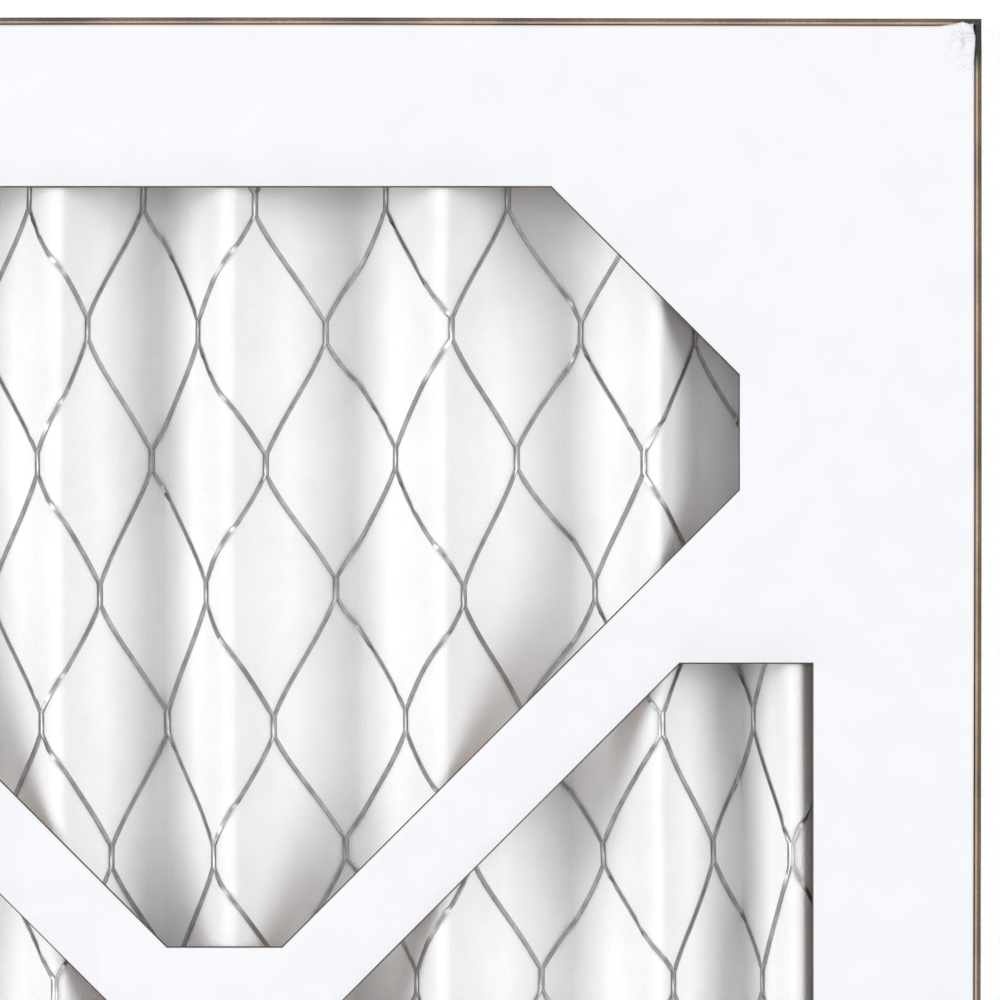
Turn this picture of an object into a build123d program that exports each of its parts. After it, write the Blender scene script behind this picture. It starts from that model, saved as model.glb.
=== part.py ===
from build123d import *
from itertools import accumulate
from math import hypot, sqrt
import os

# A disposable pleated panel air filter: a pleated sheet of filter cloth on an expanded-metal
# backing, held between two die-cut board trays that nest into each other.
# X runs along the long side and across the pleats, Y along the pleats, and Z through the
# filter from the rear face on Z = 0 to the front face.

# Overall size in mm: a nominal 25 x 16 x 1 in filter, made undersize for its rack
LENGTH = 622.3
WIDTH = 393.7
DEPTH = 19.05

# Trays of coated board
BOARD = 0.75  # board thickness
CREASE_RADIUS = 0.85  # outside radius of the folded edges
NEST_GAP = 0.1  # between the walls of the two trays
WALL_GAP = 0.5  # from the front tray's wall edges to the rear panel
TAB_LENGTH = 16.0  # glue tabs that close the rear tray's corners
TAB_GAP = 0.5  # round each glue tab
TAB_TAPER = 2.0  # by which a glue tab narrows at each side of its free end

# Die-cut windows of both panels
BORDER = 19.9  # closed border round each panel
CELL = 74.0  # from a strap crossing to the middle of the window beside it
STRAP = 9.35  # width of the diagonal straps
TIP_FLAT = 13.6  # length of the flat that blunts a window's tip
SIDE_WINDOW = 93.8  # height of the half windows at the two short sides

# Pleated filter cloth
CLOTH = 1.5  # thickness
PITCH = 23.3  # between pleat crests where they are evenly spread
FIFTH_LAST_PITCH = 20.2  # the last pleats at the +X end, as squeezed in
FOURTH_LAST_PITCH = 25.0
THIRD_LAST_PITCH = 25.4
SECOND_LAST_PITCH = 16.4
LAST_PITCH = 19.5

# Expanded-metal backing, drawn at a coarse mesh with a joint on every fold
WIRE = 0.4  # sheet thickness
MESH_LENGTH = 62.0  # long way of one diamond
JOINT_WIDTH = 0.7  # joints between strands
JOINT_LENGTH = 1.4
CREST_GAP = 0.02  # least gap from the wire to the front panel

# Hot-melt glue round the pleated pack
END_GLUE = 1.5  # thickness of the lines across the pleat ends
SIDE_GLUE = 0.65  # thickness of the lines along the first and last pleat
SIDE_GLUE_HEIGHT = 3.5

# Sizes that follow from those above
FLOOR = BOARD  # inner face of the rear panel
CEILING = DEPTH - BOARD  # inner face of the front panel
SHOULDER = DEPTH - CREASE_RADIUS  # where the front tray's walls leave its crease
SKIN_STEP = BOARD + NEST_GAP  # the front tray's outline inside the rear tray's
BAY_LENGTH = LENGTH - 2 * (SKIN_STEP + BOARD)  # room inside the front tray's walls
BAY_WIDTH = WIDTH - 2 * (SKIN_STEP + BOARD)
PACK_LENGTH = BAY_LENGTH - 2 * SIDE_GLUE
PACK_WIDTH = BAY_WIDTH - 2 * END_GLUE
ON_FLOOR = (Align.CENTER, Align.CENTER, Align.MIN)


def window_places():
    """Centre of every window: the cells of the diagonal grid that lie on the face."""
    columns = int(LENGTH / 2 // CELL)
    rows = int(WIDTH / 2 // CELL)
    return [
        (i * CELL, j * CELL)
        for i in range(-columns, columns + 1)
        for j in range(-rows, rows + 1)
        if (i + j) % 2 == 1
    ]


def windows():
    """The flat outline of all the windows, cut off at the border."""
    reach = CELL - STRAP / sqrt(2)  # from a window's middle to its sharp tip
    blunt = 2 * reach - TIP_FLAT
    diamond = Rot(Z=45) * Rectangle(reach * sqrt(2), reach * sqrt(2))
    inside = Rectangle(LENGTH - 2 * BORDER, WIDTH - 2 * BORDER)
    outlines = Sketch()
    for x, y in window_places():
        at_side = abs(x) > LENGTH / 2 - BORDER
        height = min(SIDE_WINDOW, blunt) if at_side else blunt
        outlines += Pos(x, y) * (diamond & Rectangle(blunt, height)) & inside
    return outlines


def folded_tray(length, width, depth):
    """One board blank: the panel lies on Z = 0 and its four walls are folded up."""
    outside = Box(length, width, depth, align=ON_FLOOR)
    outside = fillet(outside.faces().sort_by(Axis.Z)[0].edges(), CREASE_RADIUS)
    inside = Box(length - 2 * BOARD, width - 2 * BOARD, depth, align=ON_FLOOR)
    inside = fillet(inside.faces().sort_by(Axis.Z)[0].edges(), CREASE_RADIUS - BOARD)
    panel_cut = extrude(windows(), BOARD)
    return outside - Pos(Z=BOARD) * inside - panel_cut


def corner_tab(bottom, top):
    """Outline of a glue tab in the YZ plane, from its fold at Y = 0 to its free end at -Y."""
    fold = [(0, bottom), (0, top)]
    free_end = [(-TAB_LENGTH, top - TAB_TAPER), (-TAB_LENGTH, bottom + TAB_TAPER)]
    return Plane.YZ * Polygon(*fold, *free_end, align=None)


def at_corners(shape):
    """The shape at the +X +Y corner, mirrored to all four."""
    pair = [shape, mirror(shape, Plane.YZ)]
    return pair + [mirror(s, Plane.XZ) for s in pair]


def rear_tray():
    """The outer tray, whose long walls end in tabs that are glued inside the short walls."""
    outline = corner_tab(CREASE_RADIUS + TAB_GAP, SHOULDER - TAB_GAP)
    tab = Pos(LENGTH / 2 - 2 * BOARD, WIDTH / 2 - BOARD) * extrude(outline, BOARD)
    return folded_tray(LENGTH, WIDTH, DEPTH) + at_corners(tab)


def front_tray():
    """The inner tray, face up, with its walls cut back at the corners to clear the tabs."""
    depth = DEPTH - FLOOR - WALL_GAP
    tray = folded_tray(LENGTH - 2 * SKIN_STEP, WIDTH - 2 * SKIN_STEP, depth)
    tray = Pos(Z=DEPTH) * Rot(X=180) * tray
    notch = Box(
        SKIN_STEP + BOARD + TAB_GAP,
        BOARD + TAB_LENGTH + TAB_GAP,
        SHOULDER,
        align=(Align.MAX, Align.MAX, Align.MIN),
    )
    return tray - at_corners(Pos(LENGTH / 2, WIDTH / 2) * notch)


def crest_places():
    """X of every crest, from the half pleat at the -X end to the half pleat at the +X end."""
    crowded = [
        FIFTH_LAST_PITCH,
        FOURTH_LAST_PITCH,
        THIRD_LAST_PITCH,
        SECOND_LAST_PITCH,
        LAST_PITCH,
    ]
    even_run = PACK_LENGTH - sum(crowded)
    count = round(even_run / PITCH)
    pitches = [even_run / count] * count + crowded
    return list(accumulate(pitches, initial=-PACK_LENGTH / 2))


def fold_places():
    """X of every fold in turn: valleys and crests alternate, with a valley halfway between
    two crests and one more valley past each end, where the pack is trimmed."""
    crests = crest_places()
    crests = [2 * crests[0] - crests[1]] + crests + [2 * crests[-1] - crests[-2]]
    folds = []
    for left, right in zip(crests, crests[1:]):
        folds += [left, (left + right) / 2]
    return folds[1:]


def wire_seat():
    """Fold points in XZ of the line between the cloth and the wire, valley first.
    The cloth's valleys rest on the rear panel, and the wire's crests touch the front one."""
    xs = fold_places()
    valley = FLOOR + CLOTH
    points = []
    for n, x in enumerate(xs):
        run = min(abs(x - other) for other in xs[max(n - 1, 0) : n + 2] if other != x)
        wire_rise = WIRE * hypot(run, CEILING - valley) / run
        points.append(Vector(x, CEILING - CREST_GAP - wire_rise if n % 2 else valley))
    return points


def offset_folds(points, distance):
    """The folded line moved sideways, towards the front face when distance is positive."""
    normals = [(b - a).rotate(Axis.Z, 90).normalized() for a, b in zip(points, points[1:])]
    before = normals[:1] + normals
    after = normals + normals[-1:]
    return [
        p + (m + n) * (distance / (1 + m.dot(n))) for p, m, n in zip(points, before, after)
    ]


def rounded_folds(points, first_round):
    """The folded line with every second fold rounded, from the inner fold numbered."""
    radii = [CLOTH if n % 2 == first_round else 0 for n in range(len(points) - 2)]
    return FilletPolyline(*points, radius=radii)


def pack_outline(front, back):
    """Section of the pack between two folded lines, upright in XZ and trimmed at its ends."""
    ends = [Line(front @ 0, back @ 0), Line(front @ 1, back @ 1)]
    section = make_face(front.edges() + back.edges() + ends)
    trim = Pos(Y=DEPTH / 2) * Rectangle(PACK_LENGTH, DEPTH)
    return Plane.XZ * (section & trim)


def pleated_cloth():
    """The filter cloth: every fold is sharp on its inside and rounded on its outside."""
    seat = wire_seat()
    front = rounded_folds(seat, 0)
    back = rounded_folds(offset_folds(seat, -CLOTH), 1)
    return extrude(pack_outline(front, back), PACK_WIDTH / 2, both=True)


def diamond_openings():
    """Plan of the backing's openings, one column on every fold, each column half a mesh
    further on. An opening's side tips stop short of the next folds by half a joint."""
    xs = fold_places()
    tip = (MESH_LENGTH - JOINT_LENGTH) / 2
    rows = int(PACK_WIDTH / 2 / MESH_LENGTH) + 1
    openings = []
    for n in range(1, len(xs) - 1):
        left = xs[n - 1] + JOINT_WIDTH / 2
        right = xs[n + 1] - JOINT_WIDTH / 2
        for row in range(-rows, rows + 1):
            y = (row + n % 2 / 2) * MESH_LENGTH
            corners = [(xs[n], y - tip), (right, y), (xs[n], y + tip), (left, y)]
            openings.append(Polygon(*corners, align=None))
    return openings


def wire_backing():
    """Expanded metal, folded sharp with the cloth and lying on its front."""
    seat = wire_seat()
    back = Polyline(*seat)
    front = Polyline(*offset_folds(seat, WIRE))
    folded = extrude(pack_outline(front, back), PACK_WIDTH / 2, both=True)
    lattice = Rectangle(PACK_LENGTH, PACK_WIDTH) - diamond_openings()
    return folded & extrude(lattice, DEPTH)


def end_glue():
    """Hot-melt line across the pleat ends at the +Y side, up to the front panel's crease."""
    size = (PACK_LENGTH, END_GLUE, SHOULDER - FLOOR)
    line = Box(*size, align=(Align.CENTER, Align.MIN, Align.MIN))
    return Pos(0, PACK_WIDTH / 2, FLOOR) * line


def side_glue():
    """Hot-melt line down the half pleat at the +X side, up to the front panel's crease."""
    size = (SIDE_GLUE, PACK_WIDTH, SIDE_GLUE_HEIGHT)
    line = Box(*size, align=(Align.MIN, Align.CENTER, Align.MAX))
    return Pos(PACK_LENGTH / 2, 0, SHOULDER) * line


parts = {
    "rear_tray": rear_tray(),
    "front_tray": front_tray(),
    "pleated_cloth": pleated_cloth(),
    "wire_backing": wire_backing(),
    "glue_line_top": end_glue(),
    "glue_line_bottom": mirror(end_glue(), Plane.XZ),
    "glue_line_right": side_glue(),
    "glue_line_left": mirror(side_glue(), Plane.YZ),
}
os.makedirs("parts", exist_ok=True)
for name, shape in parts.items():
    export_step(shape, f"parts/{name}.step")
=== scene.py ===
import random
from bisect import bisect_left, bisect_right
from itertools import accumulate
from math import cos, hypot, pi, radians, sqrt

import bmesh
import bpy
from mathutils import Matrix, Vector, noise


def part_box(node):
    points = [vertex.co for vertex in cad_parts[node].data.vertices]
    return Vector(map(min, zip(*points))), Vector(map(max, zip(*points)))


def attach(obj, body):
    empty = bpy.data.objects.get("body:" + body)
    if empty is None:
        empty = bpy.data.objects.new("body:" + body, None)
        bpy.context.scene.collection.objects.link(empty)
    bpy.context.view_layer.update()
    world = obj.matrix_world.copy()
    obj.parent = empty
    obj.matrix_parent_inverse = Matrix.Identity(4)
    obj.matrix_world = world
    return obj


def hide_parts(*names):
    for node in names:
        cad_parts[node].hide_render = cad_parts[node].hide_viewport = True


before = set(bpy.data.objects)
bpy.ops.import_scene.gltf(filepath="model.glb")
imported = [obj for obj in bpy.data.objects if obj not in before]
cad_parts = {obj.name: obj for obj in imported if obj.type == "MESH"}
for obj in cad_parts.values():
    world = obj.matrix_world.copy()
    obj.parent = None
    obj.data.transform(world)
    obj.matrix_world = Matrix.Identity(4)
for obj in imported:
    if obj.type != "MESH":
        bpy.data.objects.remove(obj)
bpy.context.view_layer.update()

# ---------------------------------------------------------------- rear tray
# The outer tray: a die-cut blank of solid bleached board, clay-coated white on the outside and
# kraft brown inside. Its walls are folded up on scored creases round those of the inner tray, so
# the raw cut edge of its board shows all round the front face.

MM = 0.001
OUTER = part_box("rear_tray")[1]
RIM_Z = OUTER.z
BOARD = 0.75 * MM
WALL_ZONE = 4 * BOARD  # from the outside of a tray, within which a raw edge belongs to a wall
INNER_SIDE = 0.9 * BOARD  # from the outside of a tray, beyond which a face is on its inner side
SAME_PLANE = 0.01 * MM
WINDOW_SIDE = 120 * MM * MM  # area that no side of a window reaches
DIE_ROUND = 0.09 * MM  # rounding that the die leaves on the coated side of a cut
CUT_LEAN = 0.14 * MM  # by which a cut's inner edge stands into the window
PLY_SPLIT = 0.48 * MM  # from the outside of the rim to where its crushed outer plies end
PLY_FRAY = 0.28 * MM  # how far the crushed plies are beaten down
FRAY_LUMPS, FRAY_GRAIN, FRAY_SEED = 0.6, 2.5 * MM, 20
RIM_BAND = 0.2 * MM  # below the rim, in which its plies fray
BEND_STEP = 9 * MM  # spacing of the mesh cuts that let the board bend
CORNER_CUTS = (0.4, 0.85, 1.3, 1.8, 2.4, 3.1, 4, 5, 6.5)  # more of them, in mm off the corner
BOW = 0.19 * MM  # how far the walls wander inward at the rim
BOW_FOOT = 0.3  # share of a wall's height that stays straight
BOW_LEVELS = (BOW_FOOT, 0.6, 0.8)  # shares of that height where the mesh is cut to bend
BOW_START, BOW_END = 8 * MM, 2 * MM  # from the outside, between which the bow sets in
BOW_WAVE, BOW_SEED = 90 * MM, 77.33
KNOCK_CORE, KNOCK_EDGE = 1.5 * MM, 5.5 * MM  # full out to the one, and gone at the other
KNOCK_DEPTH = 0.8  # how much a way down the corner counts against a way along it
KNOCK_ASIDE = 0.3  # share of the knock's spread that also goes to +X
SPREAD_LUMPS, SPREAD_GRAIN, SPREAD_SEED = 0.6, 1.1 * MM, 9  # lumps of the crushed board
SINK_LUMPS, SINK_GRAIN, SINK_SEED = 0.5, 0.9 * MM, 12
CORNER_PATCH = 2.6 * MM  # from the corner down the short wall to the middle of its patch: crumpled on the coated board, painted shade on the kraft
ALONG_X, ALONG_Y, ALONG_Z = Vector((1, 0, 0)), Vector((0, 1, 0)), Vector((0, 0, 1))


def linear(code):
    """An sRGB hex colour as linear RGBA."""
    channels = [int(code[i : i + 2], 16) / 255 for i in (1, 3, 5)]
    return [c / 12.92 if c <= 0.04045 else ((c + 0.055) / 1.055) ** 2.4 for c in channels] + [1]


def new_material(name):
    """An empty node material with its Principled shader."""
    material = bpy.data.materials.new(name)
    material.use_nodes = True
    return material, material.node_tree, material.node_tree.nodes["Principled BSDF"]


def add_node(tree, kind, settings=(), links=(), **properties):
    """One shader node with its properties, its unlinked inputs and its links in."""
    node = tree.nodes.new(kind)
    for name, value in properties.items():
        setattr(node, name, value)
    for key, value in dict(settings).items():
        node.inputs[key].default_value = value
    for key, socket in dict(links).items():
        tree.links.new(socket, node.inputs[key])
    return node


def set_ramp(node, stops):
    """Gives a colour ramp its stops, each a place and a colour."""
    ramp = node.color_ramp
    while len(ramp.elements) < len(stops):
        ramp.elements.new(1)
    for element, (place, colour) in zip(ramp.elements, stops):
        element.position = place
        element.color = colour
    return node


def at_knocked_corner(tree, place, full, none):
    """A socket that is 1 within a distance of the corner's patch, crumpled and painted with shade,
    and falls to 0 further off.
    """
    away = add_node(
        tree,
        "ShaderNodeVectorMath",
        {1: (OUTER.x, OUTER.y - CORNER_PATCH, RIM_Z)},
        {0: place},
        operation="DISTANCE",
    )
    fall = add_node(
        tree,
        "ShaderNodeMapRange",
        {"From Min": full, "From Max": none, "To Min": 1, "To Max": 0},
        {"Value": away.outputs["Value"]},
    )
    return fall.outputs["Result"]


def clay_coated_board():
    """Bleached board under a calendered clay coat: cool white, faintly mottled, low sheen."""
    material, tree, shader = new_material("clay_coated_board")
    place = add_node(tree, "ShaderNodeTexCoord").outputs["Object"]
    formation = add_node(  # cloudy fibre formation, about 6 mm across
        tree,
        "ShaderNodeTexNoise",
        {"Scale": 1 / (6 * MM), "Detail": 6, "Roughness": 0.6},
        {"Vector": place},
    )
    colour = set_ramp(
        add_node(tree, "ShaderNodeValToRGB", links={"Fac": formation.outputs["Fac"]}),
        [(0.35, linear("#E9EAED")), (0.65, linear("#ECEDF0"))],
    )
    felt = add_node(tree, "ShaderNodeMapping", {"Scale": (1, 5, 1)}, {"Vector": place})
    tooth = add_node(  # felt marks of the paper machine, 1.1 mm long and 0.2 mm apart
        tree,
        "ShaderNodeTexNoise",
        {"Scale": 1 / (1.1 * MM), "Detail": 4},
        {"Vector": felt.outputs["Vector"]},
    )
    bump = add_node(
        tree,
        "ShaderNodeBump",
        {"Strength": 0.12, "Distance": 0.03 * MM},
        {"Height": tooth.outputs["Fac"]},
    )
    dents = add_node(  # crumpled coating at the knocked corner
        tree,
        "ShaderNodeTexNoise",
        {"Scale": 1 / (1.3 * MM), "Detail": 2, "Distortion": 0.8},
        {"Vector": place},
    )
    crumple = add_node(
        tree,
        "ShaderNodeBump",
        {"Distance": 0.9 * MM},
        {
            "Strength": at_knocked_corner(tree, place, 2.5 * MM, 5.5 * MM),
            "Height": dents.outputs["Fac"],
            "Normal": bump.outputs["Normal"],
        },
    )
    gloss = add_node(
        tree,
        "ShaderNodeMapRange",
        {"To Min": 0.42, "To Max": 0.56},
        {"Value": formation.outputs["Fac"]},
    )
    tree.links.new(colour.outputs["Color"], shader.inputs["Base Color"])
    tree.links.new(gloss.outputs["Result"], shader.inputs["Roughness"])
    tree.links.new(crumple.outputs["Normal"], shader.inputs["Normal"])
    shader.inputs["IOR"].default_value = 1.5
    return material


def kraft(name, light, dark, fibre, rough):
    """Unbleached kraft fibre: matt, with short fibres that lie every way, and painted shade where
    the rim turns the knocked corner.
    """
    material, tree, shader = new_material(name)
    place = add_node(tree, "ShaderNodeTexCoord").outputs["Object"]
    fibres = add_node(  # 30 micron fibres, drawn about ten times as wide to show
        tree,
        "ShaderNodeTexNoise",
        {"Scale": 1 / fibre, "Detail": 5, "Roughness": 0.7},
        {"Vector": place},
    )
    blotch = add_node(  # uneven stock, about 9 mm across
        tree, "ShaderNodeTexNoise", {"Scale": 1 / (9 * MM), "Detail": 2}, {"Vector": place}
    )
    mixed = add_node(
        tree,
        "ShaderNodeMath",
        links={0: fibres.outputs["Fac"], 1: blotch.outputs["Fac"]},
        operation="MULTIPLY",
    )
    colour = set_ramp(
        add_node(tree, "ShaderNodeValToRGB", links={"Fac": mixed.outputs[0]}),
        [(0.12, linear(dark)), (0.38, linear(light))],
    )
    bump = add_node(
        tree,
        "ShaderNodeBump",
        {"Strength": 0.5, "Distance": 0.06 * MM},
        {"Height": fibres.outputs["Fac"]},
    )
    painted_shade = add_node(  # painted shade: dark where the rim turns the knocked, sunk corner
        tree,
        "ShaderNodeMix",
        {"B": linear("#3A3832")},
        {
            "Factor": at_knocked_corner(tree, place, 1.8 * MM, 4.2 * MM),
            "A": colour.outputs["Color"],
        },
        data_type="RGBA",
    )
    tree.links.new(painted_shade.outputs["Result"], shader.inputs["Base Color"])
    tree.links.new(bump.outputs["Normal"], shader.inputs["Normal"])
    shader.inputs["Roughness"].default_value = rough
    shader.inputs["IOR"].default_value = 1.45
    return material


COATED, LINER, CORE, DARK_CUT_AND_SHADE = range(4)
board_finishes = [
    clay_coated_board(),
    kraft("kraft_liner", "#BE9A78", "#96745A", 0.35 * MM, 0.9),
    kraft("cut_board_core", "#C6B4A2", "#968472", 0.22 * MM, 0.95),
    # dark cut: painted shade on the window cuts, and the rim's darker outer plies, partly painted
    # shade
    kraft("dark_cut_and_painted_shade", "#83705E", "#54463A", 0.3 * MM, 0.95),
]


def smooth(t):
    """A soft step from 0 to 1."""
    t = min(max(t, 0), 1)
    return t * t * (3 - 2 * t)


def wander(x, y, size, seed):
    """Smooth noise from -1 to 1 over the plan, with features of the given size."""
    return noise.noise(Vector((x / size, y / size, seed)))


def bow(p):
    """Moves a point of either tray as the walls bow in at the rim. Both trays share it."""
    height = smooth((p.z - BOW_FOOT * RIM_Z) / ((1 - BOW_FOOT) * RIM_Z))
    for axis, other in ((0, 1), (1, 0)):
        near = smooth((abs(p[axis]) - (OUTER[axis] - BOW_START)) / (BOW_START - BOW_END))
        way = 1 if p[axis] > 0 else -1
        run = 0.5 + wander(p[other], OUTER[axis] * way, BOW_WAVE, BOW_SEED + axis)
        p[axis] -= BOW * near * height * min(max(run, 0), 1) * way


def knock(p, spread, sink):
    """Moves a point as the +X +Y corner of the front face was knocked."""
    away = hypot(OUTER.x - p.x, OUTER.y - p.y, KNOCK_DEPTH * (RIM_Z - p.z))
    hit = 1 - smooth((away - KNOCK_CORE) / (KNOCK_EDGE - KNOCK_CORE))
    lumps = 1 + SPREAD_LUMPS * wander(p.x, p.y, SPREAD_GRAIN, SPREAD_SEED)
    p.x += KNOCK_ASIDE * spread * hit * lumps
    p.y += spread * hit * lumps
    p.z -= sink * hit * (1 + SINK_LUMPS * wander(p.x, p.y, SINK_GRAIN, SINK_SEED))


def wear_rear_tray(p):
    """Moves a point of the rear tray: bowed, knocked, and beaten down at its raw rim."""
    bow(p)
    knock(p, spread=0, sink=0.8 * MM)
    if p.z > RIM_Z - RIM_BAND:
        edge = min(OUTER.x - abs(p.x), OUTER.y - abs(p.y))
        fray = 1 + FRAY_LUMPS * wander(p.x, p.y, FRAY_GRAIN, FRAY_SEED)
        p.z -= PLY_FRAY * (1 - smooth(edge / PLY_SPLIT)) * fray


def tray_mesh(node):
    """A CAD tray's mesh as quads and n-gons, with its coincident vertices joined."""
    mesh = bmesh.new()
    mesh.from_mesh(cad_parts[node].data)
    bmesh.ops.remove_doubles(mesh, verts=mesh.verts, dist=1e-6)
    bmesh.ops.dissolve_limit(mesh, angle_limit=radians(0.5), verts=mesh.verts, edges=mesh.edges)
    return mesh


def is_cut_face(face, reach, free_z):
    """Whether a face is a raw die cut: the side of a window, or the free edge of a wall."""
    middle = face.calc_center_median()
    if abs(face.normal.z) > 0.99:
        return abs(middle.z - free_z) < SAME_PLANE
    inside = max(abs(middle.x) - reach.x, abs(middle.y) - reach.y) < -WALL_ZONE
    return abs(face.normal.z) < 0.01 and inside and face.calc_area() < WINDOW_SIDE


def lean_cuts(mesh, cut, inner_z):
    """Moves the inner edge of every cut a little into its window, as the die leaves it."""
    for v in mesh.verts:
        sides = [f.normal for f in v.link_faces if f[cut] and abs(f.normal.z) < 0.01]
        if sides and abs(v.co.z - inner_z) < SAME_PLANE:
            mitre = 1 + sides[0].dot(sides[-1]) if len(sides) > 1 else 1
            v.co += sum(sides, Vector()) * (CUT_LEAN / mitre)


def round_cuts(mesh, cut):
    """Rounds every edge between a raw cut and the face of the board."""
    edges = [
        e
        for e in mesh.edges
        if len(e.link_faces) == 2
        and e.link_faces[0][cut] != e.link_faces[1][cut]
        and e.calc_face_angle(0) > 1
    ]
    bmesh.ops.bevel(mesh, geom=edges, offset=DIE_ROUND, segments=2, affect="EDGES", profile=0.5)


def slice_by(mesh, normal, places):
    """Cuts the whole mesh with parallel planes, so that it can bend there."""
    for place in places:
        everything = mesh.verts[:] + mesh.edges[:] + mesh.faces[:]
        bmesh.ops.bisect_plane(
            mesh, geom=everything, plane_co=normal * place, plane_no=normal, dist=1e-7
        )


def spaced(half, step):
    """Places from -half to half, about a step apart, that never meet the ends."""
    count = int(2 * half / step)
    return [-half + (i + 0.5) * 2 * half / count for i in range(count)]


def finish_piece(name, mesh, materials, node):
    """Turns a mesh into a piece that rides on the body in place of its CAD node."""
    data = bpy.data.meshes.new(name)
    mesh.to_mesh(data)
    mesh.free()
    for material in materials:
        data.materials.append(material)
    piece = bpy.data.objects.new(name, data)
    bpy.context.scene.collection.objects.link(piece)
    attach(piece, "root")
    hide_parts(node)
    return piece


def cut_to_bend(mesh):
    """Cuts a tray's mesh finely enough to bow, to be crushed at its corner and to fray."""
    corner_x = [OUTER.x - d * MM for d in CORNER_CUTS]
    corner_y = [OUTER.y - d * MM for d in CORNER_CUTS]
    slice_by(mesh, ALONG_X, spaced(OUTER.x, BEND_STEP) + corner_x)
    slice_by(mesh, ALONG_Y, spaced(OUTER.y, BEND_STEP) + corner_y)
    slice_by(mesh, ALONG_Z, [share * RIM_Z for share in BOW_LEVELS])
    for side in (-1, 1):
        slice_by(mesh, ALONG_X, [side * (OUTER.x - PLY_SPLIT)])
        slice_by(mesh, ALONG_Y, [side * (OUTER.y - PLY_SPLIT)])


def finish_board(mesh, cut, reach, panel_z):
    """Gives every face its finish: coated outside, kraft inside, and raw at the cuts. The cuts in
    the windows are dark as painted shade, and the rim's crushed outer plies are darker kraft, partly
    painted shade."""
    for face in mesh.faces:
        middle = face.calc_center_median()
        if face[cut]:
            edge = min(OUTER.x - abs(middle.x), OUTER.y - abs(middle.y))
            # within the walls the core shows; the window cuts and the rim's outer plies take the
            # dark finish, painted shade in part
            face.material_index = CORE if PLY_SPLIT <= edge <= WALL_ZONE else DARK_CUT_AND_SHADE
        else:
            walls = min(reach.x - abs(middle.x), reach.y - abs(middle.y))
            depth = min(walls, abs(middle.z - panel_z))
            face.material_index = LINER if depth > INNER_SIDE else COATED
        face.smooth = True


def board_tray(name, node, opens, wear):
    """One folded tray that opens up (1) or down (-1): sharp die-cut windows, raw edges, and
    every point moved as the tray is worn."""
    mesh = tray_mesh(node)
    low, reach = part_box(node)
    panel_z, free_z = (low.z, reach.z) if opens > 0 else (reach.z, low.z)
    cut = mesh.faces.layers.int.new("cut")
    for face in mesh.faces:
        face[cut] = is_cut_face(face, reach, free_z)
    lean_cuts(mesh, cut, panel_z + opens * BOARD)
    round_cuts(mesh, cut)
    cut_to_bend(mesh)
    finish_board(mesh, cut, reach, panel_z)
    for v in mesh.verts:
        wear(v.co)
    piece = finish_piece(name, mesh, board_finishes, node)
    piece.data.set_sharp_from_angle(angle=radians(40))


board_tray("rear_tray_board", "rear_tray", 1, wear_rear_tray)

# ---------------------------------------------------------------- front tray
# The inner tray: a second blank of the same board and the same cut, face up, with its walls
# folded down and glued inside those of the rear tray. Its creases are pressed crisp, and it took
# the knock at its coated corner.

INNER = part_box("front_tray")[1]
CREASE = 0.85 * MM  # outside radius of the creases as drawn
ON_CREASE = 0.97  # of that radius from its centre, beyond which a point is on its outside
CRISP = 4  # power of the superellipse that a pressed crease follows
TIP_RUB, TIP_SIZE = 0.4 * MM, 1.4 * MM  # how far the corner's very tip is rubbed back, and its size


def press(p):
    """Moves a point of the front tray's crease as the crease is pressed crisp."""
    depth = (RIM_Z - p.z) / CREASE
    inset = min(INNER.x - abs(p.x), INNER.y - abs(p.y)) / CREASE
    if inset < 1 and depth < 1 and hypot(1 - inset, 1 - depth) > ON_CREASE:
        p.z = RIM_Z - CREASE * (1 - max(1 - (1 - max(inset, 0)) ** CRISP, 0) ** (1 / CRISP))


def wear_front_tray(p):
    """Moves a point of the front tray: pressed, bowed, knocked, and rubbed at its tip."""
    press(p)
    bow(p)
    knock(p, spread=0.55 * MM, sink=0.12 * MM)
    pull = TIP_RUB * max(1 - hypot(INNER.x - p.x, INNER.y - p.y) / TIP_SIZE, 0)
    p.x -= pull
    p.y -= pull


board_tray("front_tray_board", "front_tray", -1, wear_front_tray)

# ---------------------------------------------------------------- pleated cloth
# One sheet of lofty white non-woven, about a metre long when flat, folded into 26 pleats by a
# scoring pleater. It is soft, so its crests are pressed flat under the front panel and its
# sides belly between the folds.

CLOTH = 1.5 * MM
CREST_LEFT, CREST_RIGHT = 1.6 * MM, 0.6 * MM  # how far a crest is pressed flat to each side
CREST_SOFT = (0.11, 0.03)  # rounding of a crest's left and right shoulder, as a share of depth
CREST_ROOM = 0.44 * MM  # from the cloth's crests up to the top of the wire
VALLEY_LEAN = 0.1  # share of a pleat by which its valley lies past the middle
VALLEY_ROUND = 0.17  # share of a pleat side over which the valley is rounded
FOLD_NEAR = 2.4 * MM  # how near to a fold the sheet is drawn finer
CREST_STEP, VALLEY_STEP, SIDE_STEP = 0.4 * MM, 0.6 * MM, 1.2 * MM  # across the pleats
ALONG_STEP = 8 * MM
CREST_BAND = 0.2 * MM  # below the top of the CAD model's wire, in which its crests are found
LEAST_PITCH = 5 * MM
END_HELD = 14 * MM  # from the pack's ends, over which the glue keeps the folds from wandering
FOLD_WANDER, FOLD_WAVE, FOLD_SEED = 0.55 * MM, 60 * MM, 31
FOLD_TIGHT_X = 0.35  # how tight the folds' waves are in X, where in Y they are 1
SIDE_WANDER, SIDE_WAVE, SIDE_SEED = 0.5 * MM, 24 * MM, 33  # on top of that below the crests
SIDE_FREE = 1 / 3  # share of the depth at which that is full
BELLY, BELLY_WAVE, BELLY_SEED = 0.55 * MM, 11 * MM, 35
BELLY_TIGHT_Y = 0.55  # how tight the bellies' waves are in Y, where in X they are 1
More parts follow.
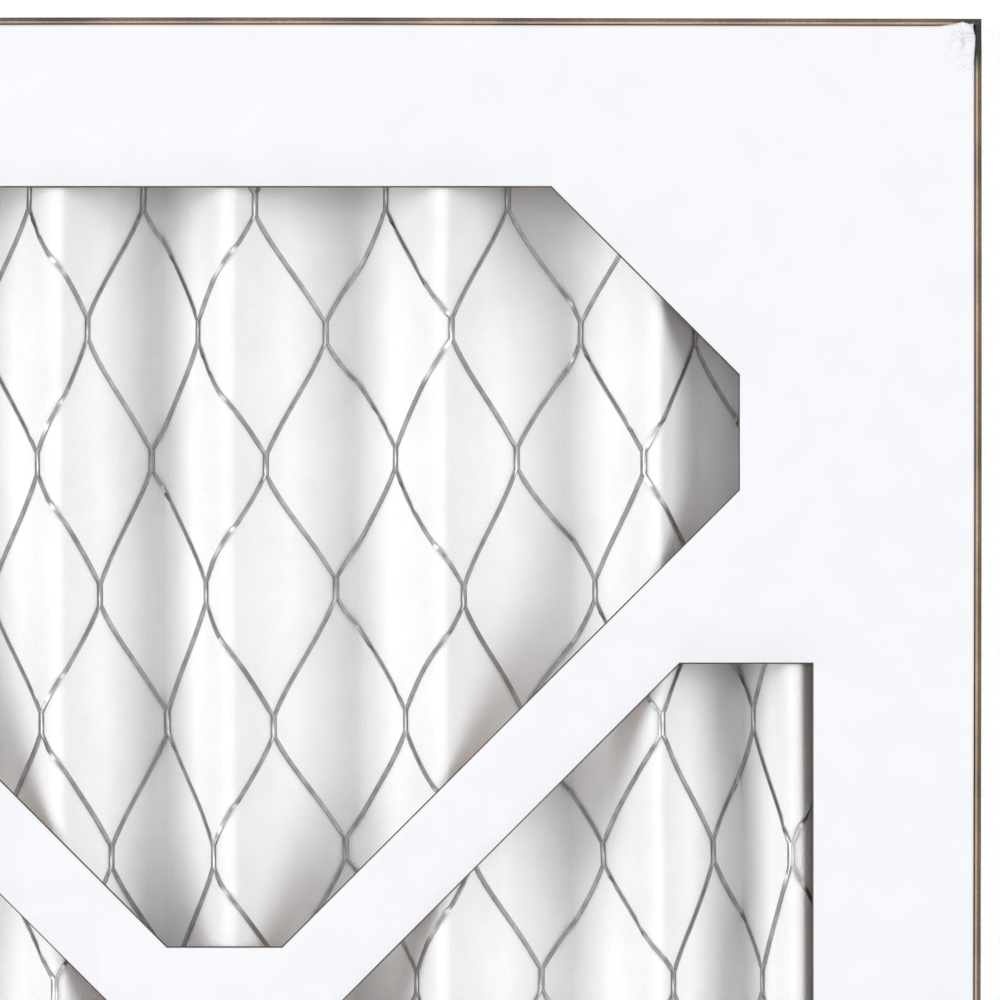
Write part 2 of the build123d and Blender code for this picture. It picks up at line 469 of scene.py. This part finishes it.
pack_low, pack_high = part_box("pleated_cloth")
wire_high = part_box("wire_backing")[1]
VALLEY_Z = pack_low.z + CLOTH
CREST_Z = wire_high.z - CREST_ROOM


def crest_lines():
    """X of every crest, read from the top of the CAD model's folded backing."""
    points = [v.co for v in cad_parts["wire_backing"].data.vertices]
    tops = [p for p in points if p.z > wire_high.z - CREST_BAND]
    found = []
    for top in sorted(tops, key=lambda p: (-p.z, p.x)):
        if all(abs(top.x - x) > LEAST_PITCH for x in found):
            found.append(top.x)
    return sorted(found)


crests = crest_lines()


def valley_between(left, right):
    """X of the valley between two crests."""
    return (left + right) / 2 + VALLEY_LEAN * (right - left)


def pleat_height(x):
    """Height of the cloth's front over the rear face at a place across the pleats. A side is a
    hyperbola, round at the valley, that meets the flat crest in a second, tighter one."""
    n = min(max(bisect_right(crests, x), 1), len(crests) - 1)
    left, right = crests[n - 1], crests[n]
    valley = valley_between(left, right)
    reach = valley - left - CREST_RIGHT if x < valley else right - CREST_LEFT - valley
    up = abs(x - valley) / reach
    rise = (hypot(up, VALLEY_ROUND) - VALLEY_ROUND) / (hypot(1, VALLEY_ROUND) - VALLEY_ROUND)
    past_crest = x - left if x < valley else x - right
    over = smooth((past_crest + CREST_LEFT) / (CREST_LEFT + CREST_RIGHT))
    soft = CREST_SOFT[0] + (CREST_SOFT[1] - CREST_SOFT[0]) * over
    lift = (hypot(1, soft) - 1) * (1 - rise)  # keeps the valley where it is
    rise = (rise + 1 - hypot(rise - 1, soft) + lift) / 2
    return VALLEY_Z + (CREST_Z - VALLEY_Z) * rise


def across_places():
    """Sample places across the pleats, finer near the folds."""
    places = []
    for left, right in zip(crests, crests[1:]):
        valley = valley_between(left, right)
        for start, end, step in (
            (left, left + FOLD_NEAR, CREST_STEP),
            (left + FOLD_NEAR, valley - FOLD_NEAR, SIDE_STEP),
            (valley - FOLD_NEAR, valley + FOLD_NEAR, VALLEY_STEP),
            (valley + FOLD_NEAR, right - FOLD_NEAR, SIDE_STEP),
            (right - FOLD_NEAR, right, CREST_STEP),
        ):
            count = max(round((end - start) / step), 1)
            places += [start + (end - start) * i / count for i in range(count)]
    return places + [crests[-1]]


cloth_xs = across_places()
cloth_zs = [pleat_height(x) for x in cloth_xs]
cloth_line = list(zip(cloth_xs, cloth_zs))
cloth_steps = [hypot(x2 - x1, z2 - z1) for (x1, z1), (x2, z2) in zip(cloth_line, cloth_line[1:])]


def back_height(x):
    """Height of the cloth's back, which lies one thickness from the nearest of its front."""
    first, last = bisect_left(cloth_xs, x - CLOTH), bisect_right(cloth_xs, x + CLOTH)
    under = [z - sqrt(max(CLOTH * CLOTH - (near - x) ** 2, 0)) for near, z in cloth_line[first:last]]
    return max(min(under), pack_low.z)


def settled(x, y, z):
    """A point of the pleated pack after handling: folds wander and sides belly unevenly."""
    free = smooth((pack_high.x - abs(x)) / END_HELD)
    deep = (CREST_Z - z) / (CREST_Z - VALLEY_Z)
    drift = FOLD_WANDER * wander(FOLD_TIGHT_X * x, y, FOLD_WAVE, FOLD_SEED) * free
    loose = free * min(deep / SIDE_FREE, 1)
    drift += SIDE_WANDER * wander(x, y, SIDE_WAVE, SIDE_SEED) * loose
    loft = BELLY * wander(x, BELLY_TIGHT_Y * y, BELLY_WAVE, BELLY_SEED) * 4 * deep * (1 - deep)
    return Vector((x + drift, y, z + loft))


def sheet_point(x, y, front_z, z):
    """A point of the sheet at a height on or under its front, moved as that front settled."""
    moved = settled(x, y, front_z)
    return (moved.x, y, max(moved.z + z - front_z, pack_low.z))


def sheet_side(mesh, ys, heights):
    """The vertices of one side of the sheet: a row along the pleats at every place across."""
    return [
        [mesh.verts.new(sheet_point(x, y, front_z, z)) for y in ys]
        for (x, front_z), z in zip(cloth_line, heights)
    ]


def pleated_sheet():
    """Both sides of the pleated cloth and the four raw edges that close them."""
    rows = round(2 * pack_high.y / ALONG_STEP)
    ys = [pack_low.y + 2 * pack_high.y * j / rows for j in range(rows + 1)]
    mesh = bmesh.new()
    front = sheet_side(mesh, ys, cloth_zs)
    back = sheet_side(mesh, ys, [back_height(x) for x in cloth_xs])
    for i in range(len(cloth_xs) - 1):
        for j in range(rows):
            mesh.faces.new((front[i][j], front[i + 1][j], front[i + 1][j + 1], front[i][j + 1]))
            mesh.faces.new((back[i][j], back[i][j + 1], back[i + 1][j + 1], back[i + 1][j]))
        mesh.faces.new((front[i][0], back[i][0], back[i + 1][0], front[i + 1][0]))
        mesh.faces.new((front[i][rows], front[i + 1][rows], back[i + 1][rows], back[i][rows]))
    for j in range(rows):
        mesh.faces.new((front[0][j], front[0][j + 1], back[0][j + 1], back[0][j]))
        mesh.faces.new((front[-1][j], back[-1][j], back[-1][j + 1], front[-1][j + 1]))
    for face in mesh.faces:
        face.smooth = True
    return mesh


def lofty_nonwoven():
    """Lofty non-woven of fine polyester: matt white and fibrous, with a faint sheen."""
    material, tree, shader = new_material("lofty_nonwoven")
    place = add_node(tree, "ShaderNodeTexCoord").outputs["Object"]
    clouds = add_node(  # uneven laying of the web, about 7 mm across
        tree,
        "ShaderNodeTexNoise",
        {"Scale": 1 / (7 * MM), "Detail": 5, "Roughness": 0.6},
        {"Vector": place},
    )
    colour = set_ramp(
        add_node(tree, "ShaderNodeValToRGB", links={"Fac": clouds.outputs["Fac"]}),
        [(0.3, linear("#F4F4F5")), (0.7, linear("#FBFBFB"))],
    )
    laid = add_node(tree, "ShaderNodeMapping", {"Scale": (3, 1, 1)}, {"Vector": place})
    fibres = add_node(  # 20 micron fibres in bundles, drawn 0.2 mm wide to show
        tree,
        "ShaderNodeTexNoise",
        {"Scale": 1 / (0.7 * MM), "Detail": 6, "Roughness": 0.65},
        {"Vector": laid.outputs["Vector"]},
    )
    bump = add_node(
        tree,
        "ShaderNodeBump",
        {"Strength": 0.6, "Distance": 0.2 * MM},
        {"Height": fibres.outputs["Fac"]},
    )
    tree.links.new(colour.outputs["Color"], shader.inputs["Base Color"])
    tree.links.new(bump.outputs["Normal"], shader.inputs["Normal"])
    shader.inputs["Roughness"].default_value = 1
    shader.inputs["Specular IOR Level"].default_value = 0.2
    shader.inputs["Sheen Weight"].default_value = 0.15
    return material


cloth = finish_piece(
    "pleated_nonwoven", pleated_sheet(), [lofty_nonwoven()], "pleated_cloth"
)
cloth.data.set_sharp_from_angle(angle=radians(60))

# ---------------------------------------------------------------- wire backing
# One sheet of expanded galvanised steel, slit and drawn out into long diamonds, glued to the
# front of the cloth before pleating and folded with it. Its strands run from joint to joint.

MESH_SHORT = 24.63 * MM  # short way of a diamond, measured round the folds
MESH_LONG = 30.8 * MM  # long way of a diamond, along the pleats
JOINT_WIDTH = 0.76 * MM  # two strands that the slits left side by side
JOINT_HALF = 1.25 * MM  # half of a joint's length
STRAND = 0.46 * MM  # width of a strand
SHEET = 0.24 * MM  # thickness of the steel
BEDDING = 0.12 * MM  # glue film between the cloth and the wire
STRAND_TILT = radians(20)  # by which drawing the sheet out twisted its strands
TILT_EASE = 7  # the twist sets in over one part in this many of a strand, at each joint
STRAND_EASE = 0.25  # share of a strand's way across that sets in gently at the joints
STRAND_RINGS = 9
RING_CLEAR = 0.02  # how near a ring comes to a strand's ends, as a share of its length
FIRST_ROW = 190.7 * MM  # Y of the first row of joints
LAST_COLUMN = 7.1 * MM  # how far past the sheet's end the last column of joints would lie
SPARE_COLUMNS = 4  # before the first one, which the skew brings onto the sheet
SKEW = 0.0567  # by which the lattice runs out of square
NUDGE_WAY, NUDGE_Y = 0.7, 0.5  # mm by which a joint may lie off the lattice
END_DRAW = 3.4 * MM  # by which the last joints were drawn back when the sheet was trimmed
END_ZONE = 50 * MM  # length of the sheet's end that was drawn back
END_EASE = 12 * MM  # over which that sets in
BLADE_DRAG = 0.95 * MM  # how far the scoring blades dragged the joints, to and fro in a pleat
BLADE_LAG = 0.07  # share of a pleat by which that drag lags
WIRE_TAUT = 0.5  # share by which the wire runs evenly from fold to fold
FOLD_FLAT = 1.0 * MM  # how far from a fold the strands still lie flat
AFTER_CREST = (0.2 * MM, 0.8 * MM)  # where a strand turns off a crest on its right
BEFORE_CREST = (1.9 * MM, 0.9 * MM)  # and where it turns onto the next one
LEFT_HALF, RIGHT_HALF = slice(0, 2), slice(1, 3)  # of the three pairs across a joint
chance = random.Random(7)

sheet_way = list(accumulate(cloth_steps, initial=0.0))  # round the folds to each of cloth_xs
SHEET_LENGTH = sheet_way[-1]


def carried(value, scale, other):
    """A value read off one rising scale, carried over to the same place on another."""
    i = min(max(bisect_right(scale, value), 1), len(scale) - 1)
    share = (value - scale[i - 1]) / (scale[i] - scale[i - 1])
    return other[i - 1] + (other[i] - other[i - 1]) * share


valleys = [valley_between(left, right) for left, right in zip(crests, crests[1:])]
fold_xs = sorted(crests + valleys)
fold_marks = [carried(x, cloth_xs, sheet_way) for x in fold_xs]
crest_marks = [carried(x, cloth_xs, sheet_way) for x in crests]
wire_xs = [  # where the wire crosses the cloth, drawn taut over its folds
    x + WIRE_TAUT * (carried(way, fold_marks, fold_xs) - x) for x, way in zip(cloth_xs, sheet_way)
]


def on_cloth(way, y):
    """The point of the cloth's front where the wire comes to at a place on the flat sheet."""
    x = carried(way, sheet_way, wire_xs)
    return settled(x, y, carried(x, cloth_xs, cloth_zs))


def turning_ways():
    """Distances round the folds at which a strand has to turn, two on each side of a crest and
    one in each valley."""
    places = []
    for left, valley, right in zip(crests, valleys, crests[1:]):
        places += [left + past for past in AFTER_CREST] + [valley]
        places += [right - short for short in BEFORE_CREST]
    return [carried(place, wire_xs, sheet_way) for place in places]


turns = turning_ways()


def joint_places():
    """Place of every joint on the flat sheet, by row and half column."""
    rows = int(2 * pack_high.y / (MESH_LONG / 2))
    columns = 2 * int(SHEET_LENGTH / MESH_SHORT) + 2
    joints = {}
    for row in range(rows + 1):
        y = FIRST_ROW - row * MESH_LONG / 2
        for column in range(-SPARE_COLUMNS, columns + 1):
            nudge_way = chance.uniform(-NUDGE_WAY, NUDGE_WAY) * MM
            nudge_y = chance.uniform(-NUDGE_Y, NUDGE_Y) * MM
            way = SHEET_LENGTH + LAST_COLUMN + (column - columns) * MESH_SHORT / 2
            way += SKEW * (pack_high.y - y) + nudge_way
            pleat = carried(way, crest_marks, range(len(crests)))
            way += BLADE_DRAG * cos(2 * pi * (pleat + BLADE_LAG))
            way -= END_DRAW * smooth((way - SHEET_LENGTH + END_ZONE) / END_EASE)
            inside = STRAND < way < SHEET_LENGTH - STRAND and abs(y) < pack_high.y - JOINT_HALF
            if (column - row) % 2 == 0 and inside:
                joints[row, column] = (way, y + nudge_y)
    return joints


def ring_shares(start, end):
    """Shares of the way along a strand where it has a ring, with one at every turn it meets."""
    shares = [(i + 1) / (STRAND_RINGS + 1) for i in range(STRAND_RINGS)]
    low, high = sorted((start, end))
    free = list(range(STRAND_RINGS))
    for turn in turns[bisect_left(turns, low) : bisect_right(turns, high)]:
        share = (turn - start) / (end - start)
        nearest = min(free, key=lambda i: abs(shares[i] - share))
        free.remove(nearest)
        shares[nearest] = min(max(share, RING_CLEAR), 1 - RING_CLEAR)
    return sorted(shares)


def ring(mesh, before, here, after, offsets, tilt):
    """Vertices across a strand at a place: a pair of top and bottom at each side offset. The
    strand lies on the cloth between the points before and after, turned about its length."""
    way, y = here
    near = 0.4 * MM  # over which the slope of the cloth is taken
    slope = on_cloth(way + near, y) - on_cloth(way - near, y)
    along = (after - before).normalized()
    side = along.cross(slope.cross(ALONG_Y).normalized()).normalized()
    turned = Matrix.Rotation(tilt, 3, along)
    normal = turned @ side.cross(along)
    side = turned @ side
    if side.x < 0:
        side = -side
    bottoms = [on_cloth(way, y) + normal * BEDDING + side * offset for offset in offsets]
    return [(mesh.verts.new(p + normal * SHEET), mesh.verts.new(p)) for p in bottoms]


def joint_ends(mesh, way, y):
    """The two ends of a joint, upper and lower, each with three pairs of vertices."""
    upper, lower = on_cloth(way, y + JOINT_HALF), on_cloth(way, y - JOINT_HALF)
    offsets = (-JOINT_WIDTH / 2, 0, JOINT_WIDTH / 2)
    return [
        ring(mesh, lower, (way, y + end), upper, offsets, 0) for end in (JOINT_HALF, -JOINT_HALF)
    ]


def skin(mesh, first, second):
    """Faces between two rings of pairs: top and bottom, and the two outer sides."""
    for (a, b), (c, d) in zip(zip(first, first[1:]), zip(second, second[1:])):
        mesh.faces.new((a[0], b[0], d[0], c[0]))
        mesh.faces.new((a[1], c[1], d[1], b[1]))
    mesh.faces.new((first[0][0], second[0][0], second[0][1], first[0][1]))
    mesh.faces.new((first[-1][0], first[-1][1], second[-1][1], second[-1][0]))


def cap(mesh, half_joint):
    """The cut end of half a joint."""
    (a, b), (c, d) = half_joint
    mesh.faces.new((a, c, d, b))


def strand_line(start, end, share):
    """Place on the flat sheet at a share of the way along a strand. It leaves each joint
    in line with it and then sets off across."""
    eased = (1 - STRAND_EASE) * share + STRAND_EASE * smooth(share)
    return (start[0] + (end[0] - start[0]) * eased, start[1] + (end[1] - start[1]) * share)


def strand(mesh, first, last, start, end, turn):
    """One strand between the half joint that it leaves and the one that it reaches, from a
    place to another on the flat sheet. It turns to -X or +X, and is twisted the same way."""
    shares = [0.0] + ring_shares(start[0], end[0]) + [1.0]
    places = [strand_line(start, end, share) for share in shares]
    points = [on_cloth(*place) for place in places]
    before = first
    for n in range(1, len(shares) - 1):
        x = carried(places[n][0], sheet_way, wire_xs)
        tilt = turn * STRAND_TILT * smooth(TILT_EASE * shares[n])
        tilt *= smooth(TILT_EASE * (1 - shares[n]))
        tilt *= smooth(min(abs(x - fold) for fold in fold_xs) / FOLD_FLAT)
        offsets = (-STRAND / 2, STRAND / 2)
        here = ring(mesh, points[n - 1], places[n], points[n + 1], offsets, tilt)
        skin(mesh, before, here)
        before = here
    skin(mesh, before, last)


def expanded_metal():
    """Every joint and every strand of the folded mesh, as one closed skin. Joints have soft
    edges, and strands have the sharp ones of slit sheet."""
    mesh = bmesh.new()
    joints = joint_places()
    ends = {key: joint_ends(mesh, *place) for key, place in joints.items()}
    for upper, lower in ends.values():
        skin(mesh, upper, lower)
    joint_edges = set(mesh.edges)
    for (row, column), (way, y) in joints.items():
        upper, lower = ends[row, column]
        for turn in (-1, 1):
            half, far_half = (LEFT_HALF, RIGHT_HALF) if turn < 0 else (RIGHT_HALF, LEFT_HALF)
            if (row - 1, column + turn) not in joints:
                cap(mesh, upper[half])
            if (row + 1, column + turn) not in joints:
                cap(mesh, lower[half])
                continue
            far_way, far_y = joints[row + 1, column + turn]
            far_upper = ends[row + 1, column + turn][0]
            quarter = JOINT_WIDTH / 4 * turn
            start = (way + quarter, y - JOINT_HALF)
            end = (far_way - quarter, far_y + JOINT_HALF)
            strand(mesh, lower[half], far_upper[far_half], start, end, turn)
    bmesh.ops.recalc_face_normals(mesh, faces=mesh.faces)
    for face in mesh.faces:
        face.smooth = True
    for edge in mesh.edges:
        edge.smooth = edge in joint_edges or edge.calc_face_angle(0) < radians(40)
    return mesh


def galvanised_steel():
    """Hot-dip galvanised sheet: grey zinc with a dull lustre, cloudy where it has oxidised."""
    material, tree, shader = new_material("galvanised_steel")
    place = add_node(tree, "ShaderNodeTexCoord").outputs["Object"]
    spangle = add_node(  # zinc spangle, 2 mm across
        tree, "ShaderNodeTexVoronoi", {"Scale": 1 / (2 * MM)}, {"Vector": place}
    )
    oxide = add_node(  # white bloom of zinc oxide, in patches about 1.4 mm across
        tree, "ShaderNodeTexNoise", {"Scale": 1 / (1.4 * MM), "Detail": 4}, {"Vector": place}
    )
    clouds = add_node(
        tree,
        "ShaderNodeMath",
        links={0: spangle.outputs["Distance"], 1: oxide.outputs["Fac"]},
        operation="MULTIPLY",
    )
    colour = set_ramp(
        add_node(tree, "ShaderNodeValToRGB", links={"Fac": clouds.outputs[0]}),
        [(0.05, linear("#C2C2C2")), (0.4, linear("#A6A6A6"))],
    )
    rough = add_node(
        tree, "ShaderNodeMapRange", {"To Min": 0.28, "To Max": 0.5}, {"Value": oxide.outputs["Fac"]}
    )
    tree.links.new(colour.outputs["Color"], shader.inputs["Base Color"])
    tree.links.new(rough.outputs["Result"], shader.inputs["Roughness"])
    shader.inputs["Metallic"].default_value = 1
    return material


finish_piece(
    "expanded_metal", expanded_metal(), [galvanised_steel()], "wire_backing"
)

# ---------------------------------------------------------------- glue lines
# Hot melt run along the tray walls, into which the pleat ends and the two end pleats are set
# before the front tray is pressed on. Ethylene-vinyl acetate, amber white and waxy.


def hot_melt_adhesive():
    """Hot-melt adhesive, extruded and pressed flat: waxy, slightly cloudy, smooth sheen."""
    material, tree, shader = new_material("hot_melt_adhesive")
    place = add_node(tree, "ShaderNodeTexCoord").outputs["Object"]
    ripple = add_node(  # ripples of the bead, about 4 mm apart
        tree, "ShaderNodeTexNoise", {"Scale": 1 / (4 * MM), "Detail": 3}, {"Vector": place}
    )
    colour = set_ramp(
        add_node(tree, "ShaderNodeValToRGB", links={"Fac": ripple.outputs["Fac"]}),
        [(0.3, linear("#DCD3BC")), (0.7, linear("#EAE4D2"))],
    )
    bump = add_node(
        tree,
        "ShaderNodeBump",
        {"Strength": 0.4, "Distance": 0.3 * MM},
        {"Height": ripple.outputs["Fac"]},
    )
    tree.links.new(colour.outputs["Color"], shader.inputs["Base Color"])
    tree.links.new(bump.outputs["Normal"], shader.inputs["Normal"])
    shader.inputs["Roughness"].default_value = 0.35
    return material


adhesive = hot_melt_adhesive()
for side in ("top", "bottom", "left", "right"):
    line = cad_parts["glue_line_" + side]
    line.data.materials.clear()
    line.data.materials.append(adhesive)

# ---------------------------------------------------------------- studio
# The filter lies on a pale table that glows a little, under three soft boxes in a bright room:
# one low at each side of the pleats, and one overhead.

VIEW_X, VIEW_Y = 254.4 * MM, 140.05 * MM  # middle of the corner that the camera looks down on
VIEW_SIZE = 117.6 * MM  # width of the view at the front face
CAMERA_HEIGHT = 1.6
SENSOR = 36  # mm
TABLE_HALF = 15
TABLE_GAP = 0.05 * MM  # below the rear face, so that the two never coincide


def pale_table_top():
    """Matt pale laminate."""
    material, _, shader = new_material("pale_table")
    shader.inputs["Base Color"].default_value = linear("#EDEDEA")
    shader.inputs["Roughness"].default_value = 0.9
    shader.inputs["Emission Color"].default_value = linear("#FFFFFF")
    shader.inputs["Emission Strength"].default_value = 0.21
    return material


table = bpy.data.meshes.new("table")
corners = [(-1, -1), (1, -1), (1, 1), (-1, 1)]
table.from_pydata([(x * TABLE_HALF, y * TABLE_HALF, 0) for x, y in corners], [], [(0, 1, 2, 3)])
table.materials.append(pale_table_top())
floor = bpy.data.objects.new("table_top", table)
floor.location.z = -TABLE_GAP
bpy.context.scene.collection.objects.link(floor)

world = bpy.data.worlds.new("studio")
world.use_nodes = True
world.node_tree.nodes["Background"].inputs["Color"].default_value = linear("#F4F6FA")
world.node_tree.nodes["Background"].inputs["Strength"].default_value = 0.33
bpy.context.scene.world = world


def soft_box(name, place, aim, size, power):
    """A square area light that the camera doesn't see, in metres and watts."""
    light = bpy.data.lights.new(name, "AREA")
    light.size = size
    light.energy = power
    lamp = bpy.data.objects.new(name, light)
    lamp.location = place
    lamp.rotation_euler = (Vector(aim) - Vector(place)).to_track_quat("-Z", "Y").to_euler()
    lamp.visible_camera = False
    bpy.context.scene.collection.objects.link(lamp)


soft_box("left_light", (-0.95, 0.22, 1.1), (0.25, 0.12, 0), 1.0, 16.2)
soft_box("right_light", (1.45, 0.32, 1.1), (0.25, 0.12, 0), 1.0, 13.3)
soft_box("top_light", (0.2, 0.35, 2.0), (0.2, 0.1, 0), 0.6, 5.6)

camera_data = bpy.data.cameras.new("camera")
camera_data.sensor_width = SENSOR
camera_data.lens = SENSOR * (CAMERA_HEIGHT - RIM_Z) / VIEW_SIZE
camera = bpy.data.objects.new("camera", camera_data)
camera.location = (VIEW_X, VIEW_Y, CAMERA_HEIGHT)
bpy.context.scene.collection.objects.link(camera)
bpy.context.scene.camera = camera
bpy.context.scene.view_settings.view_transform = "Standard"
